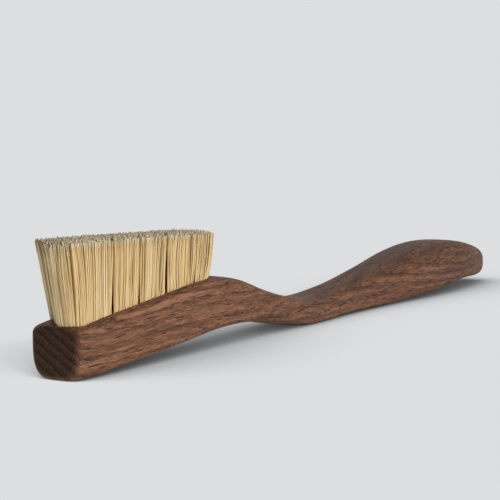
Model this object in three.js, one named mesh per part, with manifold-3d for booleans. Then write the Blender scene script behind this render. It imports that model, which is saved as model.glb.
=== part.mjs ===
// A clothes brush: one piece of wood that is both head and handle, and tufts of natural bristle.
// Each tuft is folded round a flat wire anchor at the bottom of its own drilled hole.
//
// Millimetres. The brush lies on its back with the bristles up: Z is up from the surface that it
// lies on, X runs from the toe (the square end of the head) to the end of the handle, Y is across.

import * as THREE from 'three';
import { mergeVertices } from 'three/addons/utils/BufferGeometryUtils.js';
import Module from 'manifold-3d';

const wasm = await Module();
wasm.setup();

// ---- Driving dimensions of the wooden body ----------------------------------------------------

const LENGTH = 297;
const TOE_THICKNESS = 15.5;
const FACE_SLOPE = 0.113; // rise of the flat bristle face for each millimetre towards the handle
const FACE_LENGTH = 62; // the flat bristle face, from the toe to where the shoulder begins
const TOE_ROUND = 3; // radius of the square toe's upright edges; the upper and lower ones are tighter
const END_ROUND = 15; // length of the rounded end of the handle

// Side and plan outlines, as [distance from the toe, value]. The top line follows the bristle face
// first; the bottom line touches the surface at the toe and along the handle, and arches between.
const TOP_LINE = [
  [0, faceHeight(0)], [44, faceHeight(44)], [FACE_LENGTH, faceHeight(FACE_LENGTH)], [70, 23.1],
  [78, 22.35], [87, 20.9], [100, 16.85], [116, 12.65], [135, 9.6], [160, 10.9], [188, 14.75],
  [220, 19.55], [248, 21.4], [270, 19.7], [290, 15.55],
];
const BOTTOM_LINE = [
  [0, 0], [12, 0], [34, 1.7], [56, 3.7], [78, 5.55], [98, 5.1], [115, 2.3], [131, 0],
  [165, 0], [205, 0], [238, 1.1], [266, 3.3], [290, 3.0],
];
const HALF_WIDTH = [
  [0, 9.1], [28, 9.1], [66, 9.3], [105, 9.5], [132, 9.2], [165, 8.2], [198, 9.9],
  [237, 13.3], [270, 12.1], [290, 8.85],
];

// How the section changes along the body: the height of its widest line as a share of its
// thickness, and the superellipse powers above and below that line (a high power is squarer).
const WIDEST_SHARE = [[0, 0.79], [20, 0.85], [66, 0.86], [122, 0.55], [166, 0.5], [LENGTH, 0.5]];
const UPPER_POWER = [[0, 2.4], [14, 3.2], [66, 3.5], [122, 3], [LENGTH, 3]];
const LOWER_POWER = [[0, 3.6], [20, 4.6], [66, 5], [122, 3.2], [LENGTH, 3.2]];

// The section is drawn a little too tall where a flat land is then planed on it: the bristle face
// above, and the two lands below that the brush lies on.
const FACE_PLANED = [[0, 0.35], [FACE_LENGTH - 4, 0.35], [FACE_LENGTH + 6, 0], [LENGTH, 0]];
const LAND_PLANED = [
  [0, 0.3], [12, 0.3], [22, 0], [124, 0], [132, 0.3], [205, 0.3], [215, 0], [LENGTH, 0],
];

const NECK_END = 144; // where the grip begins
const LAST_TURN = 86.4; // degrees round the end of the handle, where a small flat closes it

const RING_SIDES = 28;

// ---- Driving dimensions of the tufts and anchors ----------------------------------------------

// Each row's place across the brush, and how many pitches its first hole is set back from the near
// row's: the far row starts a whole hole later, which leaves that corner of the head bare.
const ROWS = [
  { name: 'near', across: -4.8, phase: 0, count: 10 },
  { name: 'middle', across: 0, phase: 0.25, count: 10 },
  { name: 'far', across: 4.8, phase: 1, count: 9 },
];
const FIRST_HOLE = 3.3; // from the toe to the first hole of the near row
const FIRST_PITCH = 5.4; // the holes are closest together at the toe
const PITCH_GROWTH = 0.145; // and spread out by twice this for each hole along the row

const HOLE_RADIUS = 2;
const HOLE_DEPTH = 9;
const ROOT_RADIUS = 1.7;
const CLEARANCE = 0.3;

const FIELD_END = 68.2; // where every row ends on the wood, from the toe
const FIELD_HALF_WIDTH = 7.2;
const TIP_HALF_WIDTH = 8; // the same half width at the trimmed tips
const TOE_SPREAD = 5.6; // how far the tips of each row's first tuft lean out towards the toe
const TOE_SPREAD_REACH = 6;
const HEEL_SPREAD = 2.2; // how far the last tips lean out towards the handle
const HEEL_SPREAD_REACH = 5;
const TIP_HEIGHT = 39; // trimmed tips, at the toe edge of the field
const TIP_FALL = 0.028; // fall of the trimmed tips for each millimetre towards the handle
const TIP_CROWN = 0.4;
const CELL_POWER = 6; // how square a tuft's section is at its tips
const TUFT_SIDES = 12;

const ANCHOR_LENGTH = 5;
const ANCHOR_THICKNESS = 0.5;
const ANCHOR_HEIGHT = 1.8;
const ANCHOR_ANGLE = THREE.MathUtils.degToRad(40); // set across the grain, between the other holes
const FOLD_THICKNESS = 0.6; // bristle under the anchor, where the tuft is folded

// ---- Materials --------------------------------------------------------------------------------

const wood = new THREE.MeshStandardMaterial({ color: 0x7a543d, roughness: 0.55, metalness: 0 });
const bristle = new THREE.MeshStandardMaterial({ color: 0xcdb083, roughness: 0.7, metalness: 0 });
const wire = new THREE.MeshStandardMaterial({ color: 0xb8b4aa, roughness: 0.4, metalness: 1 });

// ---- Curves -----------------------------------------------------------------------------------

function faceHeight(along) {
  return TOE_THICKNESS + FACE_SLOPE * along;
}

// The span of knots that holds a place, and how far through the span the place is.
function findSpan(knots, place) {
  let i = 0;
  while (i < knots.length - 2 && place > knots[i + 1][0]) i += 1;
  return { i, share: (place - knots[i][0]) / (knots[i + 1][0] - knots[i][0]) };
}

function straightThrough(knots, place) {
  const { i, share } = findSpan(knots, place);
  return THREE.MathUtils.lerp(knots[i][1], knots[i + 1][1], share);
}

// A smooth curve through the knots: cubic spans, with the slope at each knot taken from both sides.
function smoothThrough(knots, place) {
  const rise = (k) => (knots[k + 1][1] - knots[k][1]) / (knots[k + 1][0] - knots[k][0]);
  const width = (k) => knots[k + 1][0] - knots[k][0];
  const slope = (k) => {
    if (k === 0) return rise(0);
    if (k === knots.length - 1) return rise(k - 1);
    return (rise(k - 1) * width(k) + rise(k) * width(k - 1)) / (width(k - 1) + width(k));
  };
  const { i, share: t } = findSpan(knots, place);
  const startWeight = 2 * t ** 3 - 3 * t ** 2 + 1;
  const startSlope = (t ** 3 - 2 * t ** 2 + t) * width(i) * slope(i);
  const endSlope = (t ** 3 - t ** 2) * width(i) * slope(i + 1);
  return startWeight * knots[i][1] + (1 - startWeight) * knots[i + 1][1] + startSlope + endSlope;
}

// A superellipse's two coordinates, each from -1 to 1, at an angle.
function superellipse(angle, power) {
  const bend = (value) => Math.sign(value) * Math.abs(value) ** (2 / power);
  return [bend(Math.cos(angle)), bend(Math.sin(angle))];
}

// ---- Solids -----------------------------------------------------------------------------------

// A closed skin over rings of points, each ring turning the same way about the line of rings.
function loft(rings) {
  const sides = rings[0].length;
  const points = rings.flat();
  const faces = [];
  for (let r = 0; r < rings.length - 1; r += 1) {
    for (let j = 0; j < sides; j += 1) {
      const a = r * sides + j;
      const b = r * sides + ((j + 1) % sides);
      faces.push(a, b, b + sides, a, b + sides, a + sides);
    }
  }
  const cap = (ring, base, forward) => {
    const centre = new THREE.Vector3();
    ring.forEach((point) => centre.addScaledVector(point, 1 / sides));
    points.push(centre);
    for (let j = 0; j < sides; j += 1) {
      const here = base + j;
      const next = base + ((j + 1) % sides);
      faces.push(points.length - 1, forward ? here : next, forward ? next : here);
    }
  };
  cap(rings[0], 0, false);
  cap(rings[rings.length - 1], (rings.length - 1) * sides, true);
  const geometry = new THREE.BufferGeometry().setFromPoints(points);
  geometry.setIndex(faces);
  return geometry;
}

function toSolid(geometry) {
  const bare = geometry.clone();
  bare.deleteAttribute('normal');
  bare.deleteAttribute('uv');
  const merged = mergeVertices(bare);
  const vertProperties = new Float32Array(merged.attributes.position.array);
  const triVerts = new Uint32Array(merged.index.array);
  return new wasm.Manifold(new wasm.Mesh({ numProp: 3, vertProperties, triVerts }));
}

function toGeometry(solid) {
  const mesh = solid.getMesh();
  const geometry = new THREE.BufferGeometry();
  geometry.setAttribute('position', new THREE.BufferAttribute(mesh.vertProperties, 3));
  geometry.setIndex(new THREE.BufferAttribute(mesh.triVerts, 1));
  return geometry;
}

function cutAll(geometry, cutters) {
  return toGeometry(cutters.reduce((solid, cutter) => solid.subtract(toSolid(cutter)), toSolid(geometry)));
}

// ---- The wooden body --------------------------------------------------------------------------

// How much of the section is left near the two ends: the toe loses a rounded margin all round, and
// the end of the handle shrinks to its middle.
function endShape(along) {
  const beforeToe = Math.max(TOE_ROUND - along, 0);
  const margin = TOE_ROUND - Math.sqrt(TOE_ROUND ** 2 - beforeToe ** 2);
  const intoEnd = Math.max(along - (LENGTH - END_ROUND), 0) / END_ROUND;
  return { margin, share: (1 - intoEnd ** 2.2) ** (1 / 2.2) };
}

function bodyRing(along) {
  const { margin, share } = endShape(along);
  const fullTop = smoothThrough(TOP_LINE, along) + straightThrough(FACE_PLANED, along);
  const fullBottom = smoothThrough(BOTTOM_LINE, along) - straightThrough(LAND_PLANED, along);
  const middle = (fullTop + fullBottom) / 2;
  const top = middle + (fullTop - middle) * share - 0.25 * margin;
  const bottom = middle + (fullBottom - middle) * share + 0.8 * margin;
  const half = smoothThrough(HALF_WIDTH, along) * share - margin;
  const widest = bottom + straightThrough(WIDEST_SHARE, along) * (top - bottom);
  const ceiling = along <= FACE_LENGTH ? faceHeight(along) : Infinity;

  const ring = [];
  for (let j = 0; j < RING_SIDES; j += 1) {
    const angle = ((j + 0.5) / RING_SIDES) * 2 * Math.PI;
    const isUpper = angle < Math.PI;
    const [across, up] = superellipse(angle, straightThrough(isUpper ? UPPER_POWER : LOWER_POWER, along));
    const height = widest + up * (isUpper ? top - widest : widest - bottom);
    ring.push(new THREE.Vector3(along, across * half, THREE.MathUtils.clamp(height, 0, ceiling)));
  }
  return ring;
}

function bodyStations() {
  const steps = (from, to, count) => {
    return Array.from({ length: count }, (_, i) => from + ((to - from) * i) / count);
  };
  const toe = [0, 0.12, 0.5, 1.2, 2];
  const head = steps(TOE_ROUND, FACE_LENGTH, 5);
  const neck = steps(FACE_LENGTH, NECK_END, 14);
  const grip = steps(NECK_END, LENGTH - END_ROUND, 14);
  const end = steps(0, LAST_TURN, 7).concat(LAST_TURN).map((degrees) => {
    return LENGTH - END_ROUND + END_ROUND * Math.sin(THREE.MathUtils.degToRad(degrees));
  });
  return [...toe, ...head, ...neck, ...grip, ...end];
}

// ---- Where the tufts stand --------------------------------------------------------------------

function holePlace(row, step) {
  const steps = step + row.phase;
  return FIRST_HOLE + FIRST_PITCH * steps + PITCH_GROWTH * steps ** 2;
}

// Where the tips stand, along the brush, above a place at the foot of a row.
function leanAlong(row, place) {
  const toe = TOE_SPREAD * Math.exp((holePlace(row, -0.5) - place) / TOE_SPREAD_REACH);
  const heel = HEEL_SPREAD * Math.exp((place - FIELD_END) / HEEL_SPREAD_REACH);
  return place - toe + heel;
}

function tipHeight(along, across) {
  return TIP_HEIGHT - TIP_FALL * along + TIP_CROWN * (1 - (across / TIP_HALF_WIDTH) ** 2);
}

// Each tuft's hole and the share of the field that it fills, at its foot and at its tips.
function listTufts() {
  const tufts = [];
  const rowWidth = (2 * FIELD_HALF_WIDTH) / ROWS.length;
  const widen = TIP_HALF_WIDTH / FIELD_HALF_WIDTH;
  ROWS.forEach((row, r) => {
    for (let k = 0; k < row.count; k += 1) {
      const from = holePlace(row, k - 0.5);
      const to = k === row.count - 1 ? FIELD_END : holePlace(row, k + 0.5);
      const low = -FIELD_HALF_WIDTH + r * rowWidth;
      tufts.push({
        name: `${row.name}_${String(k + 1).padStart(2, '0')}`,
        along: holePlace(row, k),
        across: row.across,
        foot: { from, to, low, high: low + rowWidth },
        tips: {
          from: leanAlong(row, from),
          to: leanAlong(row, to),
          low: low * widen,
          high: (low + rowWidth) * widen,
        },
      });
    }
  });
  return tufts;
}

// ---- Tufts and anchors ------------------------------------------------------------------------

// A box round the anchor, grown by a margin, in the hole of a tuft.
function anchorBox(tuft, length, margin) {
  const size = [length, ANCHOR_THICKNESS + 2 * margin, ANCHOR_HEIGHT + 2 * margin];
  const floor = faceHeight(tuft.along) - HOLE_DEPTH + CLEARANCE;
  const middle = floor + FOLD_THICKNESS + CLEARANCE + ANCHOR_HEIGHT / 2;
  return new THREE.BoxGeometry(...size).rotateZ(ANCHOR_ANGLE).translate(tuft.along, tuft.across, middle);
}

function drill(tuft) {
  const above = 6;
  const height = HOLE_DEPTH + above;
  const cylinder = new THREE.CylinderGeometry(HOLE_RADIUS, HOLE_RADIUS, height, TUFT_SIDES);
  const middle = faceHeight(tuft.along) + above - height / 2;
  return cylinder.rotateX(Math.PI / 2).translate(tuft.along, tuft.across, middle);
}

// A tuft is a round bundle in its hole that opens to fill its share of the field at the tips.
function tuftRing(tuft, rise, opening) {
  const ring = [];
  const mix = THREE.MathUtils.lerp;
  const cell = Object.fromEntries(
    Object.keys(tuft.foot).map((key) => [key, mix(tuft.foot[key], tuft.tips[key], rise)]),
  );
  const halfLength = (cell.to - cell.from - CLEARANCE) / 2;
  const halfWidth = (cell.high - cell.low - CLEARANCE) / 2;
  const root = faceHeight(tuft.along);
  for (let j = 0; j < TUFT_SIDES; j += 1) {
    const angle = ((j + 0.5) / TUFT_SIDES) * 2 * Math.PI;
    const [u, v] = superellipse(angle, CELL_POWER);
    const roundX = tuft.along + ROOT_RADIUS * Math.cos(angle);
    const roundY = tuft.across + ROOT_RADIUS * Math.sin(angle);
    const x = mix(roundX, (cell.from + cell.to) / 2 + u * halfLength, opening);
    const y = mix(roundY, (cell.low + cell.high) / 2 + v * halfWidth, opening);
    ring.push(new THREE.Vector3(x, y, mix(root + CLEARANCE, tipHeight(x, y), rise)));
  }
  return ring;
}

function tuftGeometry(tuft) {
  const foot = tuftRing(tuft, 0, 0);
  const floor = faceHeight(tuft.along) - HOLE_DEPTH + CLEARANCE;
  const bottom = foot.map((point) => new THREE.Vector3(point.x, point.y, floor));
  const outline = loft([bottom, foot, tuftRing(tuft, 0.25, 0.6), tuftRing(tuft, 1, 1)]);
  return cutAll(outline, [anchorBox(tuft, 3 * HOLE_RADIUS, CLEARANCE)]);
}

// ---- The brush --------------------------------------------------------------------------------

function addPiece(brush, name, geometry, material) {
  const mesh = new THREE.Mesh(geometry, material);
  mesh.name = name;
  brush.add(mesh);
}

function makeBrush() {
  const brush = new THREE.Group();
  const tufts = listTufts();
  const slots = tufts.map((tuft) => anchorBox(tuft, ANCHOR_LENGTH + 2 * CLEARANCE, CLEARANCE));
  const body = cutAll(loft(bodyStations().map(bodyRing)), [...tufts.map(drill), ...slots]);
  addPiece(brush, 'brush_body', body, wood);
  tufts.forEach((tuft) => {
    addPiece(brush, `tuft_${tuft.name}`, tuftGeometry(tuft), bristle);
    addPiece(brush, `anchor_${tuft.name}`, anchorBox(tuft, ANCHOR_LENGTH, 0), wire);
  });
  // The origin is under the middle of the brush.
  const bounds = new THREE.Box3().setFromObject(brush);
  brush.position.x = -(bounds.min.x + bounds.max.x) / 2;
  return brush;
}

export default makeBrush();
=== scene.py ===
import math

import bpy
import numpy as np
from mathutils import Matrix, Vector


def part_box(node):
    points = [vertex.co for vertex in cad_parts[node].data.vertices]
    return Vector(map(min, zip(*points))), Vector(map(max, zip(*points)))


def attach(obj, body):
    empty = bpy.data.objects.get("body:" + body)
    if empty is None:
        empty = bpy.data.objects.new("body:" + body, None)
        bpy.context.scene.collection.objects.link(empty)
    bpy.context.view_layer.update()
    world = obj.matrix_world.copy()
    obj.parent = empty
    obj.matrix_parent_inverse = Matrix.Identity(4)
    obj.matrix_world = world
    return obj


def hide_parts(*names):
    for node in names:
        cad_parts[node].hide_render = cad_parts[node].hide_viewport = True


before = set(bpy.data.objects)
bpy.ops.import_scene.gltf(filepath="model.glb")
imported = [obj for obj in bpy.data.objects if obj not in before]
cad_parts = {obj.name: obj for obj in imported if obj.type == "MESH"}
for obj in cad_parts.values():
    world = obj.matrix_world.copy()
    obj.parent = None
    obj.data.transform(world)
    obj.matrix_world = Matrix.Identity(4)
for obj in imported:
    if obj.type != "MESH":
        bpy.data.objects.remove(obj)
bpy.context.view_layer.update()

# A clothes brush lying on its back: a one-piece wooden body and tufts of natural bristle.
# Metres, in the CAD frame: X from the toe to the end of the handle, Y across, Z up.
# The wooden body is a closed skin without the CAD body's holes: the bristles run into it.

MM = 0.001
BODY_LOW, BODY_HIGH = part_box("brush_body")
TOE_X = BODY_LOW.x
LENGTH = (BODY_HIGH.x - BODY_LOW.x) / MM

# ---- Camera and stage -----------------------------------------------------------------------

CAMERA_FROM_TOE = Vector((-0.3147, -0.2570, 0.0739))
CAMERA_HEADING = 31.50  # degrees from +X towards +Y
CAMERA_DIP = 5.27
LENS = 105.2
SENSOR = 36.0

KEY_AIM = 25.0  # millimetres from the toe
KEY_AIM_HEIGHT = 20.0
BACKDROP = (0.723, 0.730, 0.745)
AMBIENT = (0.03, 0.03, 0.03)
FLOOR_SIZE = 60.0
SHADOW_REACH = 0.060  # how far over the floor the painted shadow reaches
SHADOW_RAYS = 24
SHADOW_TOWARDS = (-0.92, -0.25, 0.30)  # the occlusion test leans to this side, and the painted shadow falls away from it
PAINTED_SHADOW_TONES = [  # the share of open sky the occlusion test finds, and how bright the floor's glow is painted there
    (0.36, 0.05), (0.52, 0.11), (0.66, 0.28), (0.76, 0.55), (0.86, 0.82), (0.96, 1.0),
]

# A mix node's colour sockets share their names with its float and vector ones.
COLOUR_A, COLOUR_B, COLOUR_RESULT = 6, 7, 2


class Nodes:
    """A node tree that is written as calls: add() makes a node and sets or links its inputs."""

    def __init__(self, tree):
        self.tree = tree
        tree.nodes.clear()

    def add(self, kind, inputs=None, **settings):
        node = self.tree.nodes.new(kind)
        for name, value in settings.items():
            setattr(node, name, value)
        for name, value in (inputs or {}).items():
            self.set(node.inputs[name], value)
        return node

    def set(self, socket, value):
        if isinstance(value, bpy.types.NodeSocket):
            self.tree.links.new(value, socket)
        else:
            socket.default_value = value

    def math(self, operation, *values, clamp=False):
        inputs = dict(enumerate(values))
        return self.add("ShaderNodeMath", inputs, operation=operation, use_clamp=clamp).outputs[0]

    def vector(self, operation, *values):
        inputs = dict(enumerate(values))
        return self.add("ShaderNodeVectorMath", inputs, operation=operation).outputs[0]

    def noise(self, where, scale=1.0, detail=2.0, roughness=0.5):
        inputs = {"Vector": where, "Scale": scale, "Detail": detail, "Roughness": roughness}
        return self.add("ShaderNodeTexNoise", inputs)

    def spread(self, value, low, high, to_low=0.0, to_high=1.0):
        inputs = {"Value": value, "From Min": low, "From Max": high}
        inputs.update({"To Min": to_low, "To Max": to_high})
        return self.add("ShaderNodeMapRange", inputs).outputs["Result"]

    def mix(self, share, first, second, blend="MIX"):
        node = self.add("ShaderNodeMix", data_type="RGBA", blend_type=blend)
        self.set(node.inputs["Factor"], share)
        self.set(node.inputs[COLOUR_A], first)
        self.set(node.inputs[COLOUR_B], second)
        return node.outputs[COLOUR_RESULT]

    def ramp(self, value, stops):
        node = self.add("ShaderNodeValToRGB", {"Fac": value})
        node.color_ramp.elements[0].position = stops[0][0]
        node.color_ramp.elements[1].position = stops[-1][0]
        for place, _ in stops[1:-1]:
            node.color_ramp.elements.new(place)
        for element, (_, colour) in zip(node.color_ramp.elements, stops):
            element.color = (*colour, 1.0)
        return node.outputs["Color"]

    def surface(self, **inputs):
        named = {key.replace("_", " "): value for key, value in inputs.items()}
        shader = self.add("ShaderNodeBsdfPrincipled", named)
        output = self.add("ShaderNodeOutputMaterial")
        self.tree.links.new(shader.outputs[0], output.inputs["Surface"])
        return shader


def new_material(name):
    material = bpy.data.materials.new(name)
    material.use_nodes = True
    return material, Nodes(material.node_tree)


def add_object(name, data):
    obj = bpy.data.objects.new(name, data)
    bpy.context.scene.collection.objects.link(obj)
    return obj


def make_camera():
    data = bpy.data.cameras.new("camera")
    data.lens = LENS
    data.sensor_width = SENSOR
    camera = add_object("camera", data)
    camera.location = Vector((TOE_X, 0, 0)) + CAMERA_FROM_TOE
    camera.rotation_euler = (math.radians(90 - CAMERA_DIP), 0, math.radians(CAMERA_HEADING - 90))
    bpy.context.scene.camera = camera


def make_floor():
    """A sheet that glows as bright as the backdrop, with a painted shadow: its glow darkens softly
    where the brush is close by.
    """
    material, nodes = new_material("floor_paper")
    light = {"Distance": SHADOW_REACH, "Normal": nodes.vector("NORMALIZE", SHADOW_TOWARDS)}
    openness = nodes.add("ShaderNodeAmbientOcclusion", light, samples=SHADOW_RAYS)
    greys = [(place, (grey, grey, grey)) for place, grey in PAINTED_SHADOW_TONES]
    # painted shadow: the floor's glow is darkened by how much open sky the occlusion test finds
    shade = nodes.ramp(openness.outputs["AO"], greys)
    colour = nodes.mix(1.0, shade, (*BACKDROP, 1), blend="MULTIPLY")
    glow = nodes.add("ShaderNodeEmission", {"Color": colour})
    output = nodes.add("ShaderNodeOutputMaterial")
    material.node_tree.links.new(glow.outputs[0], output.inputs["Surface"])
    # the seam between the sheet's two triangles passes well away from the brush
    right, left = FLOOR_SIZE * 0.4, FLOOR_SIZE * -0.6
    ahead = FLOOR_SIZE / 2
    corners = [(-ahead, left, 0), (ahead, left, 0), (ahead, right, 0), (-ahead, right, 0)]
    mesh = bpy.data.meshes.new("floor")
    mesh.from_pydata(corners, [], [(0, 1, 2, 3)])
    mesh.materials.append(material)
    floor = add_object("floor", mesh)


def make_world():
    world = bpy.data.worlds.new("studio")
    bpy.context.scene.world = world
    world.use_nodes = True
    nodes = Nodes(world.node_tree)
    ray = nodes.add("ShaderNodeLightPath").outputs
    seen = nodes.math("MAXIMUM", ray["Is Camera Ray"], ray["Is Glossy Ray"])
    colour = nodes.mix(seen, (*AMBIENT, 1), (*BACKDROP, 1))
    background = nodes.add("ShaderNodeBackground", {"Color": colour})
    output = nodes.add("ShaderNodeOutputWorld")
    world.node_tree.links.new(background.outputs[0], output.inputs["Surface"])


def make_sun(name, towards, strength, softness):
    """A soft distant light from a direction."""
    data = bpy.data.lights.new(name, "SUN")
    data.energy = strength
    data.angle = math.radians(softness)
    lamp = add_object(name, data)
    lamp.rotation_mode = "QUATERNION"
    lamp.rotation_quaternion = Vector(towards).to_track_quat("Z", "Y")


def make_softbox(name, from_head, size, power, colour):
    """A square light that faces the middle of the head, placed from it."""
    head = Vector((TOE_X + KEY_AIM * MM, 0, KEY_AIM_HEIGHT * MM))
    data = bpy.data.lights.new(name, "AREA")
    data.size = size
    data.energy = power
    data.color = colour
    lamp = add_object(name, data)
    lamp.location = head + Vector(from_head)
    lamp.rotation_mode = "QUATERNION"
    lamp.rotation_quaternion = Vector(from_head).to_track_quat("Z", "Y")
    lamp.visible_camera = False


def make_stage():
    make_floor()
    make_world()
    make_softbox("key_light", (-0.02, -0.40, 0.07), 0.26, 1.46, (1.0, 0.985, 0.96))
    make_sun("rim_light", (-0.20, 0.95, 0.25), 0.18, 40)
    make_sun("toe_light", (-0.75, -0.35, 0.45), 0.23, 50)
    bpy.context.scene.view_settings.view_transform = "Standard"


# ---- The wooden body --------------------------------------------------------------------------

TOE_THICKNESS = 15.5
FACE_SLOPE = 0.113
FACE_LENGTH = 62.0
TOE_ROUND = 3.0
END_ROUND = 15.0

TOP_LINE = [
    (0, 15.5), (44, 20.472), (62, 22.506), (70, 23.1), (78, 22.35), (87, 20.9), (100, 16.85),
    (116, 12.65), (135, 9.6), (160, 10.9), (188, 14.75), (220, 19.55), (248, 21.4), (270, 19.7),
    (290, 15.55),
]
BOTTOM_LINE = [
    (0, 0), (12, 0), (34, 1.7), (56, 3.7), (78, 5.55), (98, 5.1), (115, 2.3), (131, 0),
    (165, 0), (205, 0), (238, 1.1), (266, 3.3), (290, 3.0),
]
HALF_WIDTH = [
    (0, 9.1), (28, 9.1), (66, 9.3), (105, 9.5), (132, 9.2), (165, 8.2), (198, 9.9),
    (237, 13.3), (270, 12.1), (290, 8.85),
]
WIDEST_SHARE = [(0, 0.79), (20, 0.85), (66, 0.86), (122, 0.55), (166, 0.5), (300, 0.5)]
UPPER_POWER = [(0, 2.4), (14, 3.2), (66, 3.5), (122, 3), (300, 3)]
LOWER_POWER = [(0, 3.6), (20, 4.6), (66, 5), (122, 3.2), (300, 3.2)]
FACE_PLANED = [(0, 0.35), (58, 0.35), (68, 0), (300, 0)]
LAND_PLANED = [(0, 0.3), (12, 0.3), (22, 0), (124, 0), (132, 0.3), (205, 0.3), (215, 0), (300, 0)]

BODY_SIDES = 128

WOOD_TONES = [
    (0.34, (0.060, 0.023, 0.011)), (0.50, (0.135, 0.055, 0.028)),
    (0.60, (0.215, 0.092, 0.047)), (0.74, (0.350, 0.165, 0.088)),
]
# the colour of the painted sheen glinting in the pores
PAINTED_PORE_GLINT = (0.420, 0.205, 0.105)
PORE = (0.016, 0.007, 0.005)
END_GRAIN_DARK = (0.006, 0.003, 0.002)
END_GRAIN_PALE = (0.105, 0.057, 0.034)


def straight_through(knots, place):
    return float(np.interp(place, *zip(*knots)))


def smooth_through(knots, place):
    """A smooth curve through the knots: cubic spans, with each knot's slope taken from both sides."""
    x, y = (np.array(values, float) for values in zip(*knots))
    width = np.diff(x)
    rise = np.diff(y) / width
    inner = (rise[:-1] * width[1:] + rise[1:] * width[:-1]) / (width[1:] + width[:-1])
    slope = np.concatenate(([rise[0]], inner, [rise[-1]]))
    i = int(np.clip(np.searchsorted(x, place) - 1, 0, len(x) - 2))
    t = (place - x[i]) / width[i]
    start = 2 * t**3 - 3 * t**2 + 1
    start_slope = (t**3 - 2 * t**2 + t) * width[i] * slope[i]
    end_slope = (t**3 - t**2) * width[i] * slope[i + 1]
    return start * y[i] + (1 - start) * y[i + 1] + start_slope + end_slope


def body_ring(along):
    """The section of the body at a distance from the toe, in millimetres."""
    before_toe = max(TOE_ROUND - along, 0)
    margin = TOE_ROUND - math.sqrt(TOE_ROUND**2 - before_toe**2)
    into_end = max(along - (LENGTH - END_ROUND), 0) / END_ROUND
    share = (1 - min(into_end, 0.9999) ** 2.2) ** (1 / 2.2)
    full_top = smooth_through(TOP_LINE, along) + straight_through(FACE_PLANED, along)
    full_bottom = smooth_through(BOTTOM_LINE, along) - straight_through(LAND_PLANED, along)
    middle = (full_top + full_bottom) / 2
    top = middle + (full_top - middle) * share - 0.25 * margin
    bottom = middle + (full_bottom - middle) * share + 0.8 * margin
    half = smooth_through(HALF_WIDTH, along) * share - margin
    widest = bottom + straight_through(WIDEST_SHARE, along) * (top - bottom)
    ceiling = TOE_THICKNESS + FACE_SLOPE * along if along <= FACE_LENGTH else math.inf

    angle = (np.arange(BODY_SIDES) + 0.5) / BODY_SIDES * 2 * math.pi
    upper = np.sin(angle) > 0
    power = np.where(upper, straight_through(UPPER_POWER, along), straight_through(LOWER_POWER, along))
    across = np.sign(np.cos(angle)) * np.abs(np.cos(angle)) ** (2 / power) * half
    up = np.abs(np.sin(angle)) ** (2 / power)
    height = np.where(upper, widest + up * (top - widest), widest - up * (widest - bottom))
    return np.column_stack([np.full(BODY_SIDES, along), across, np.clip(height, 0, ceiling)])


def loft(rings):
    """Points and faces of a closed skin over rings, with a fan over each end."""
    rings = np.asarray(rings)
    count, sides = rings.shape[:2]
    points = np.concatenate([rings.reshape(-1, 3), rings[:1].mean(1), rings[-1:].mean(1)])
    here = np.arange(sides)
    following = (here + 1) % sides
    faces = []
    for r in range(count - 1):
        near, far = r * sides, (r + 1) * sides
        band = [near + here, near + following, far + following, far + here]
        faces += np.column_stack(band).tolist()
    first, last = count * sides, count * sides + 1
    end = (count - 1) * sides
    faces += [(first, b, a) for a, b in zip(here.tolist(), following.tolist())]
    faces += [(last, end + a, end + b) for a, b in zip(here.tolist(), following.tolist())]
    return points, faces


def body_stations():
    toe = TOE_ROUND * (1 - np.cos(np.linspace(0, math.pi / 2, 10)[:-1]))
    middle = np.linspace(TOE_ROUND, LENGTH - END_ROUND, 260)[:-1]
    end = LENGTH - END_ROUND + END_ROUND * np.sin(np.linspace(0, math.pi / 2 * 0.998, 30))
    return np.concatenate([toe, middle, end])


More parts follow.
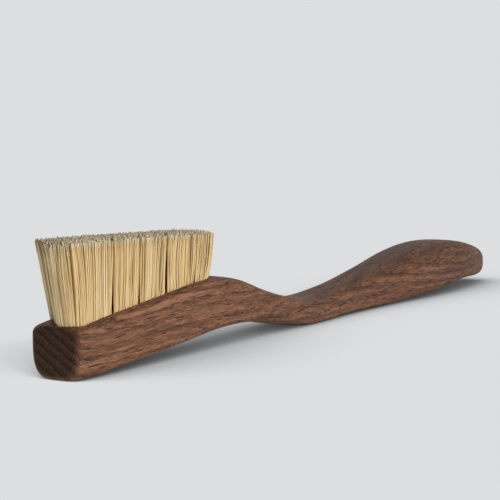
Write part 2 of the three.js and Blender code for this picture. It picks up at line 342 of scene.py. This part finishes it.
def wood_material():
    material, nodes = new_material("oiled_dark_wood")
    coord = nodes.add("ShaderNodeTexCoord")
    scaled = nodes.vector("MULTIPLY", coord.outputs["Object"], (1000, 1000, 1000))  # millimetres
    sway = nodes.noise(nodes.vector("MULTIPLY", scaled, (0.016, 0.05, 0.05))).outputs["Color"]
    sway = nodes.vector("MULTIPLY", nodes.vector("SUBTRACT", sway, (0.5, 0.5, 0.5)), (0, 6, 6))
    place = nodes.vector("ADD", scaled, sway)

    def along_grain(squeeze, detail=1.0, roughness=0.5, shift=0.0):
        """A noise drawn out along the grain."""
        where = nodes.vector("ADD", nodes.vector("MULTIPLY", place, squeeze), (shift, 0, 0))
        return nodes.noise(where, detail=detail, roughness=roughness).outputs["Fac"]

    # growth rings, round a pith that runs along the brush, low and to the far side
    from_pith = nodes.vector("MULTIPLY", nodes.vector("SUBTRACT", place, (0, 46, -60)), (0, 1, 1))
    radius = nodes.add("ShaderNodeVectorMath", {0: from_pith}, operation="LENGTH").outputs["Value"]
    season = nodes.math("FRACT", nodes.math("MULTIPLY", radius, 0.36))
    late = nodes.spread(season, 0.55, 0.98)
    early = nodes.spread(season, 0.0, 0.35, 1.0, 0.0)

    # fibres, open pores, and short pale flecks that are painted sheen, as if the pores caught the
    # light
    fibre = along_grain((0.06, 2.0, 2.0), detail=5.0, roughness=0.72)
    cloud = along_grain((0.022, 0.42, 0.42), detail=2.0)
    open_pores = nodes.math("ADD", along_grain((0.15, 2.9, 2.9)), nodes.math("MULTIPLY", early, 0.07))
    short_pores = nodes.spread(along_grain((0.36, 3.4, 3.4), shift=91.0), 0.58, 0.68, 0.0, 0.7)
    pore = nodes.math("MAXIMUM", nodes.spread(open_pores, 0.59, 0.66), short_pores)
    pore_glint_mask = nodes.spread(along_grain((0.36, 3.8, 3.8), shift=37.0), 0.60, 0.70)

    normal = nodes.add("ShaderNodeSeparateXYZ", {0: coord.outputs["Normal"]})
    end_grain = nodes.spread(nodes.math("ABSOLUTE", normal.outputs["X"]), 0.55, 0.95)

    tone = nodes.math("ADD", nodes.math("MULTIPLY", fibre, 0.70), nodes.math("MULTIPLY", cloud, 0.46))
    tone = nodes.math("SUBTRACT", tone, nodes.math("MULTIPLY", late, 0.12))
    colour = nodes.ramp(tone, WOOD_TONES)
    # painted sheen: pale glints drawn along the grain
    colour = nodes.mix(nodes.math("MULTIPLY", pore_glint_mask, 0.45), colour, (*PAINTED_PORE_GLINT, 1))
    colour = nodes.mix(nodes.math("MULTIPLY", pore, 0.78), colour, (*PORE, 1))
    speck = nodes.noise(scaled, scale=2.4, detail=4.0, roughness=0.7).outputs["Fac"]
    arc = nodes.math("ADD", nodes.spread(speck, 0.36, 0.68), nodes.math("MULTIPLY", season, 0.75))
    arcs = nodes.mix(nodes.spread(arc, 0.20, 1.45), (*END_GRAIN_DARK, 1), (*END_GRAIN_PALE, 1))
    colour = nodes.mix(nodes.math("MULTIPLY", end_grain, 0.95), colour, arcs)

    rough = nodes.spread(fibre, 0.3, 0.7, 0.46, 0.60)
    rough = nodes.math("ADD", rough, nodes.math("MULTIPLY", pore, 0.2))
    height = nodes.math("SUBTRACT", nodes.math("MULTIPLY", fibre, 0.35), pore)
    bump = nodes.add("ShaderNodeBump", {"Height": height, "Strength": 0.5, "Distance": 0.00012})
    sheen = nodes.spread(end_grain, 0, 1, 0.22, 0.08)
    settings = {"Roughness": rough, "Normal": bump.outputs["Normal"], "Specular_IOR_Level": sheen}
    nodes.surface(Base_Color=colour, **settings)
    return material


def make_body():
    points, faces = loft([body_ring(along) for along in body_stations()])
    points = points * MM + np.array([TOE_X, 0, 0])
    mesh = bpy.data.meshes.new("wooden_body")
    mesh.from_pydata(points.tolist(), [], faces)
    mesh.validate()
    mesh.polygons.foreach_set("use_smooth", [True] * len(mesh.polygons))
    mesh.materials.append(wood_material())
    body = add_object("wooden_body", mesh)
    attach(body, "root")
    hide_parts("brush_body")


# ---- The bristle tufts --------------------------------------------------------------------------

ROOT_DEPTH = 8.7 * MM  # the CAD tuft's foot, below the face of the wood
BRISTLE_TONES = [
    (0.05, (0.580, 0.380, 0.165)), (0.34, (0.720, 0.510, 0.240)),
    (0.62, (0.770, 0.595, 0.325)), (0.92, (0.870, 0.760, 0.515)),
]
# the darker, warmer colour of the painted shade at the bristles' roots
ROOT_PAINTED_SHADE = (0.66, 0.47, 0.24)
BRISTLES_PER_TUFT = 330
BRISTLE_RADIUS = 0.19 * MM  # stouter than real bristle, as there are fewer of them
BRISTLE_SIDES = 5
FIRST_SEED = 4100
HOLE_RADIUS = 1.75 * MM
FIELD_END = 68.2 * MM  # where the bristle field ends on the wood, from the toe
ROW_PITCH = 4.8 * MM  # between the rows, across the brush
FIELD_HALF_WIDTH = 1.5 * ROW_PITCH
BRISTLE_RISES = (0, 0.03, 0.08, 0.2, 0.4, 0.6, 0.8, 1)  # where a bristle's path has its points
ROOT_SHARE = 0.20  # how far a bristle goes down into the wood, as a share of its free length
FOOT_OPENING = 0.9  # how much of its share of the field a tuft fills at the face of the wood
FOOT_HEIGHT = 1.4 * MM  # the opening would grow by a whole share over this height, until it is full
WISPS = 22
WISP_PULL = (0.02, 0.18)
STRAY_SHARE = 0.02
TRIM_ERROR = 0.26 * MM
SHORT_SHARE = 0.06
SHORT_BY = (0.3, 1.4)  # millimetres
PARTED_AFTER = {  # how wide the partings stand open after these tufts, in millimetres
    "tuft_near_03": 1.60, "tuft_near_05": 1.60, "tuft_near_07": 1.80, "tuft_near_09": 1.50,
}
PARTING_SLANT = 1.4  # a parting runs this much towards the heel for each step across the brush
PARTING_DEPTH = -0.5 * MM  # where across the brush a parting ends
PARTING_REACH = 2.0 * MM  # bristles this close to a parting keep to their side of it
ROUND_CORNERS = {  # the tufts at the corners of the field, and which way each corner points
    "tuft_near_01": (-1, -1), "tuft_middle_01": (-1, 1), "tuft_far_01": (-1, 1),
    "tuft_far_09": (1, 1),
}
OVERLAP = 0.25 * MM  # how far a tuft's tips reach past the CAD tuft's, in among its neighbours'
TOE_END_ROUND = 5.0 * MM  # the rounding of the field's end at the toe
TOE_RIM = 5.0 * MM  # over this length the tips fall away towards the toe
TOE_RIM_DROP = 1.3 * MM
PAINTED_TIP_LIGHT_TONES = [(0.78, 0.59, 0.35), (1.0, 0.93, 0.72)]  # painted light: paler tips standing in for light from above, from the darkest to the palest


def tuft_facts(name):
    """Where a CAD tuft's root stands in the face of the wood, and the points round its tips."""
    co = np.array([v.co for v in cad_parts[name].data.vertices], float)
    low = co[co[:, 2] < co[:, 2].min() + 0.1 * MM]
    tips = co[co[:, 2] > co[:, 2].max() - 2.5 * MM]
    root = (low.min(0) + low.max(0)) / 2 + np.array([0, 0, ROOT_DEPTH])
    return {"root": root, "tips": tips}


def share_out_feet(tufts):
    """Each tuft's share of the wood's face: half way to its neighbours in its row."""
    for row in ("near", "middle", "far"):
        in_row = [facts for name, facts in sorted(tufts.items()) if f"_{row}_" in name]
        places = np.array([facts["root"][0] for facts in in_row])
        between = (places[1:] + places[:-1]) / 2
        edges = np.concatenate([[2 * places[0] - between[0]], between, [TOE_X + FIELD_END]])
        for facts, start, end in zip(in_row, edges, edges[1:]):
            across = facts["root"][1]
            facts["foot_low"] = np.array([start, across - ROW_PITCH / 2])
            facts["foot_high"] = np.array([end, across + ROW_PITCH / 2])


def fit_tip_surface(tufts):
    """The trimmed surface through the CAD tips, z = a + b x + c y squared, lower at the toe's rim."""
    tips = np.concatenate([facts["tips"] for facts in tufts.values()])
    terms = np.column_stack([np.ones(len(tips)), tips[:, 0], tips[:, 1] ** 2])
    found = np.linalg.lstsq(terms, tips[:, 2], rcond=None)[0]
    toe_edge = tips[:, 0].min()

    def surface(x, y):
        rim = np.clip(1 - (x - toe_edge) / TOE_RIM, 0, 1)
        return found[0] + found[1] * x + found[2] * y**2 - TOE_RIM_DROP * rim**2

    return surface


def spread_evenly(rng, count):
    """Even but unruly places in a square from -1 to 1, as two arrays."""
    order = np.arange(count)
    places = np.stack([(0.5 + order * 0.7548776662) % 1, (0.5 + order * 0.5698402910) % 1])
    return np.clip(2 * places - 1 + rng.uniform(-0.07, 0.07, (2, count)), -1, 1)


def drawn_in(a, b):
    """Places in a square, drawn in to the circle inside it."""
    return a * np.sqrt(1 - b**2 / 2), b * np.sqrt(1 - a**2 / 2)


def round_corner(a, b, corner):
    """The same places with one corner of the square, if any, drawn in to a quarter circle."""
    toward_a, toward_b = corner
    in_corner = (a * toward_a > 0) & (b * toward_b > 0)
    round_a, round_b = drawn_in(a, b)
    return np.where(in_corner, round_a, a), np.where(in_corner, round_b, b)


def cell_places(low, high, a, b):
    return (low + high) / 2 + np.column_stack([a, b]) * (high - low) / 2


def find_partings(tufts):
    """Each parting: where it is along the brush at the wood and at the tips, and half its width."""
    partings = []
    for name, width in PARTED_AFTER.items():
        following = name[:-2] + f"{int(name[-2:]) + 1:02d}"
        at_tips = (tufts[name]["tips"].max(0)[0] + tufts[following]["tips"].min(0)[0]) / 2
        partings.append((tufts[name]["foot_high"][0], at_tips, width / 2 * MM))
    return partings


def find_toe_ends(tufts):
    """Where the field ends towards the toe and its half width, at the wood and at the tips."""
    tips = np.concatenate([facts["tips"] for facts in tufts.values()])
    foot_edge = min(facts["foot_low"][0] for facts in tufts.values())
    return (foot_edge, FIELD_HALF_WIDTH), (tips[:, 0].min(), np.abs(tips[:, 1]).max())


def round_toe_end(places, edge, half_width):
    """Draw the places in towards the middle where the field's end at the toe is rounded."""
    past = np.clip(1 - (places[:, 0] - edge) / TOE_END_ROUND, 0, 1)
    taken = TOE_END_ROUND * (1 - np.sqrt(1 - past**2))
    places[:, 1] *= 1 - taken / half_width


def step_aside(paths, flares, partings):
    """Move the bristles that stand in a parting to its sides, each to one side all the way up."""
    x, y = paths[..., 0], paths[..., 1]
    for at_foot, at_tips, half in partings:
        line = at_foot + (at_tips - at_foot) * flares[:, None]
        line = line + PARTING_SLANT * np.maximum(y + FIELD_HALF_WIDTH, 0)
        off = x - line
        side = np.where(off.mean(0) < 0, -1, 1)
        close = (np.abs(off).max(0) < PARTING_REACH) & (y.max(0) < PARTING_DEPTH)
        x[:, close] = (line + side * np.maximum(off * side, half))[:, close]


def tuft_paths(rng, facts, field, corner):
    """The centre line of each bristle of a tuft, from its sunken root to its trimmed tip."""
    count = BRISTLES_PER_TUFT
    root = facts["root"]
    a, b = spread_evenly(rng, count)
    hole = root[:2] + np.column_stack(drawn_in(a, b)) * HOLE_RADIUS

    a, b = round_corner(a, b, corner)
    foot = cell_places(facts["foot_low"], facts["foot_high"], a, b)
    low, high = facts["tips"].min(0)[:2] - OVERLAP, facts["tips"].max(0)[:2] + OVERLAP
    tip = cell_places(low, high, a, b)
    for places, toe_end in zip((foot, tip), field["toe_ends"]):
        round_toe_end(places, *toe_end)

    # bristles cling together in wisps, and a few stray
    wisps = tip[rng.integers(0, count, WISPS)]
    nearest = np.argmin(((tip[:, None] - wisps[None]) ** 2).sum(-1), 1)
    tip += (wisps[nearest] - tip) * rng.uniform(*WISP_PULL, (count, 1))
    tip += rng.normal(0, 0.09 * MM, (count, 2)) + rng.normal(0, 0.16 * MM, (WISPS, 2))[nearest]
    strays = rng.random(count) < STRAY_SHARE
    tip[strays] += rng.normal(0, 0.6 * MM, (strays.sum(), 2))
    top = field["tip_surface"](tip[:, 0], tip[:, 1]) + rng.normal(0, TRIM_ERROR, count)
    top -= np.where(rng.random(count) < SHORT_SHARE, rng.uniform(*SHORT_BY, count) * MM, 0)
    bow = rng.normal(0, 0.07 * MM, (count, 2)) + rng.normal(0, 0.20 * MM, (WISPS, 2))[nearest]

    face = root[2] + (foot[:, 0] - root[0]) * FACE_SLOPE
    free = top - face
    rises = np.array(BRISTLE_RISES)
    flares = 0.85 * rises + 0.15 * rises**2  # they lean out faster towards the tips
    paths = [np.column_stack([hole, face - free * ROOT_SHARE])]
    for rise, flare in zip(rises, flares):
        opening = np.clip(FOOT_OPENING + rise * free / FOOT_HEIGHT, 0, 1)[:, None]
        xy = hole + (foot - hole) * opening + (tip - foot) * flare + bow * math.sin(math.pi * rise)
        paths.append(np.column_stack([xy, face + free * rise]))
    paths = np.array(paths)
    step_aside(paths[1:], flares, field["partings"])
    tone = np.clip(rng.normal(0.55, 0.10, count) + rng.normal(0, 0.10, WISPS)[nearest], 0, 1)
    return paths, tone


def tube_mesh(name, paths, tone, rng):
    """A mesh of thin closed tubes along paths, with each one's tone and rise kept on its points."""
    levels, count = paths.shape[:2]
    angle = np.arange(BRISTLE_SIDES) / BRISTLE_SIDES * 2 * math.pi
    turn = rng.uniform(0, 2 * math.pi, count)
    radius = BRISTLE_RADIUS * rng.uniform(0.75, 1.25, count)
    taper = np.linspace(1.08, 0.78, levels)
    circle = np.stack([np.cos(angle[None] + turn[:, None]), np.sin(angle[None] + turn[:, None])], -1)
    rings = np.repeat(paths[:, :, None], BRISTLE_SIDES, 2)
    rings[..., :2] += circle[None] * (taper[:, None] * radius[None])[..., None, None]
    points = rings.transpose(1, 0, 2, 3).reshape(-1, 3)
    side = np.arange(BRISTLE_SIDES)
    following = (side + 1) % BRISTLE_SIDES
    base = (np.arange(count) * levels * BRISTLE_SIDES)[:, None, None]
    step = (np.arange(levels - 1) * BRISTLE_SIDES)[None, :, None]
    quads = np.stack([
        base + step + side, base + step + following,
        base + step + BRISTLE_SIDES + following, base + step + BRISTLE_SIDES + side,
    ], -1).reshape(-1, 4)
    ends = base[:, 0] + (levels - 1) * BRISTLE_SIDES + side[None]
    starts = base[:, 0] + side[None, ::-1]
    faces = quads.tolist() + ends.tolist() + starts.tolist()
    mesh = bpy.data.meshes.new(name)
    mesh.from_pydata(points.tolist(), [], faces)
    smooth = np.zeros(len(faces), bool)
    smooth[: len(quads)] = True
    mesh.polygons.foreach_set("use_smooth", smooth)
    strand = np.zeros((count, levels, BRISTLE_SIDES, 4))
    strand[..., 0] = tone[:, None, None]
    strand[..., 1] = np.linspace(0, 1, levels)[None, :, None]
    strand[..., 2] = rng.random(count)[:, None, None]
    strand[..., 3] = 1
    mesh.attributes.new("strand", "FLOAT_COLOR", "POINT").data.foreach_set("color", strand.ravel())
    return mesh


def bristle_material():
    material, nodes = new_material("natural_bristle")
    strand = nodes.add("ShaderNodeAttribute", attribute_name="strand").outputs["Color"]
    parts = nodes.add("ShaderNodeSeparateColor", {0: strand})
    tone, rise, lot = (parts.outputs[i] for i in range(3))
    coord = nodes.add("ShaderNodeTexCoord").outputs["Object"]
    scaled = nodes.vector("MULTIPLY", coord, (1400, 1400, 160))
    mottle = nodes.noise(scaled, detail=3.0).outputs["Fac"]
    tone = nodes.math("ADD", tone, nodes.spread(mottle, 0.3, 0.7, -0.10, 0.10))
    colour = nodes.ramp(tone, BRISTLE_TONES)
    # painted shade: the bristles are painted darker and warmer towards their roots
    painted_root_shade = nodes.spread(rise, 0.1, 0.5, 0.45, 0.0)
    colour = nodes.mix(painted_root_shade, colour, (*ROOT_PAINTED_SHADE, 1))
    # painted light: the trimmed tips are painted paler, standing in for light from above; how pale
    # differs at random between bristles
    trimmed = nodes.mix(nodes.spread(lot, 0.1, 0.7), *((*tip, 1) for tip in PAINTED_TIP_LIGHT_TONES))
    colour = nodes.mix(nodes.spread(rise, 0.95, 1.0, 0.0, 0.9), colour, trimmed)
    rough = nodes.spread(lot, 0, 1, 0.5, 0.7)
    nodes.surface(Base_Color=colour, Roughness=rough, Specular_IOR_Level=0.1)
    return material


def make_tufts():
    names = sorted(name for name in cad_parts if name.startswith("tuft_"))
    tufts = {name: tuft_facts(name) for name in names}
    share_out_feet(tufts)
    field = {
        "partings": find_partings(tufts), "toe_ends": find_toe_ends(tufts),
        "tip_surface": fit_tip_surface(tufts),
    }
    material = bristle_material()
    for number, name in enumerate(names):
        rng = np.random.default_rng(FIRST_SEED + number)
        corner = ROUND_CORNERS.get(name, (0, 0))
        paths, tone = tuft_paths(rng, tufts[name], field, corner)
        mesh = tube_mesh(name.replace("tuft", "bristles"), paths, tone, rng)
        mesh.materials.append(material)
        tuft = add_object(mesh.name, mesh)
        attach(tuft, "root")
        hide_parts(name)


def finish_anchors():
    """The anchors keep their CAD shape and take a drawn-wire metal."""
    material, nodes = new_material("anchor_wire")
    coord = nodes.add("ShaderNodeTexCoord").outputs["Object"]
    drawn = nodes.noise(nodes.vector("MULTIPLY", coord, (900, 900, 9000)), detail=4.0).outputs["Fac"]
    colour = nodes.mix(drawn, (0.42, 0.40, 0.36, 1), (0.60, 0.58, 0.54, 1))
    nodes.surface(Base_Color=colour, Metallic=1.0, Roughness=nodes.spread(drawn, 0.3, 0.7, 0.28, 0.5))
    for name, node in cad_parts.items():
        if name.startswith("anchor_"):
            node.data.materials.clear()
            node.data.materials.append(material)


make_camera()
make_stage()
make_body()
make_tufts()
finish_anchors()
